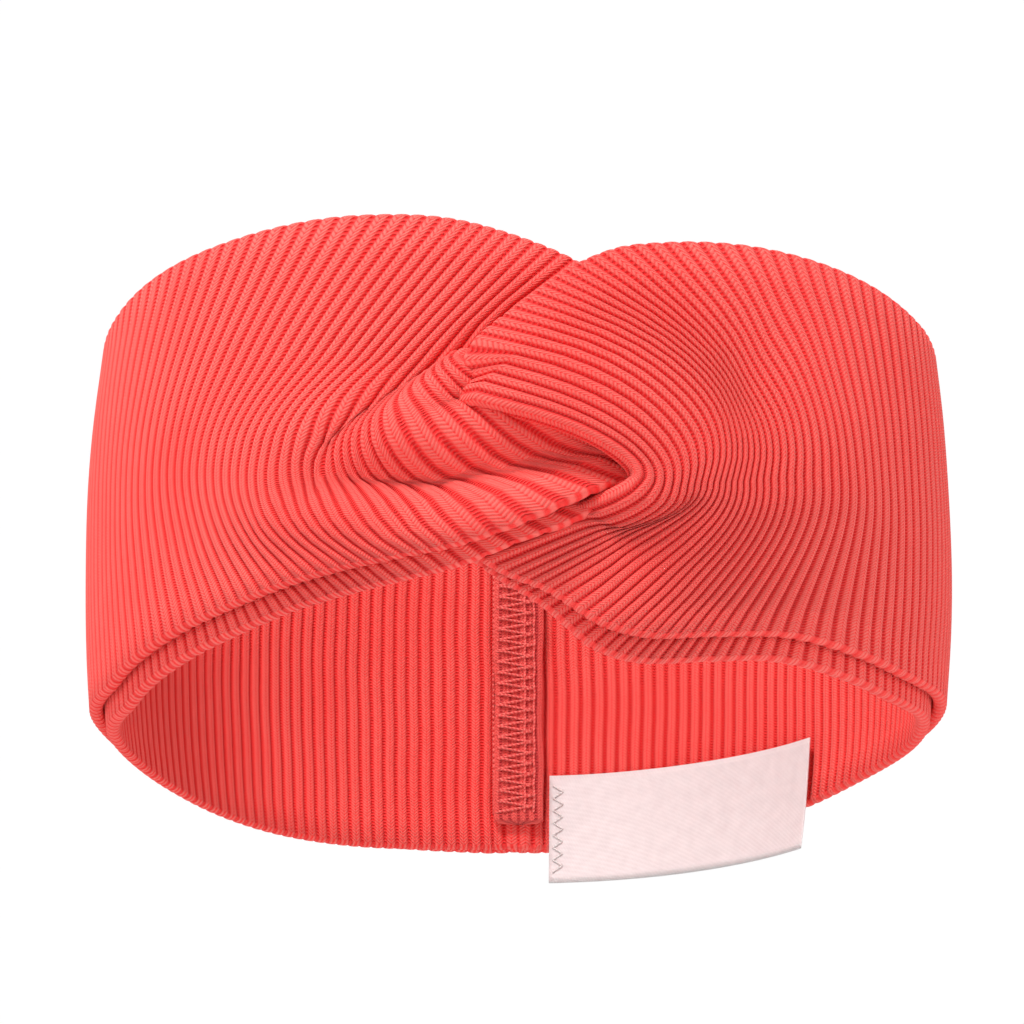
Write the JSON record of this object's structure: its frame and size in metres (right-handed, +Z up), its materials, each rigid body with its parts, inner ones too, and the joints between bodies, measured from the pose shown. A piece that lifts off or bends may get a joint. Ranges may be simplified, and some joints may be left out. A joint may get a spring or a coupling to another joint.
{
  "type": "twist-front headband",
  "caption": "Wide stretch headband of two rib-knit loops hooked through each other in a turban twist at the forehead and sewn together at the nape, with a small care label.",
  "frame": {"origin": "centre of the head opening at the band's mid-height", "axes": "+Z up along the head's axis, -Y towards the front where the twist is, +X the wearer's left and the viewer's right"},
  "size_m": [0.1836, 0.1953, 0.095],
  "materials": {
    "coral_knit": "matte rib-knit jersey",
    "coral_edge": "matte overlocked knit edge",
    "coral_thread": "soft sewing thread",
    "satin_label": "satin ribbon",
    "white_thread": "sewing thread"
  },
  "bodies": {
    "band": {"left_loop": "coral_knit", "right_loop": "coral_knit", "left_outer_tube_seam": "coral_edge", "left_inner_tube_seam": "coral_edge", "right_outer_tube_seam": "coral_edge", "right_inner_tube_seam": "coral_edge", "back_seam_allowance": "coral_edge", "overlock_thread": "coral_thread"},
    "label": {"care_label": "satin_label", "label_stitches": "white_thread"}
  },
  "joints": [
    {"name": "label_flap", "type": "hinge", "parent": "band", "child": "label", "pos_m": [0.00703, 0.08328, -0.04], "axis": [-0.0095, -0.1123, -0.9936], "range_deg": [0, 80]}
  ]
}
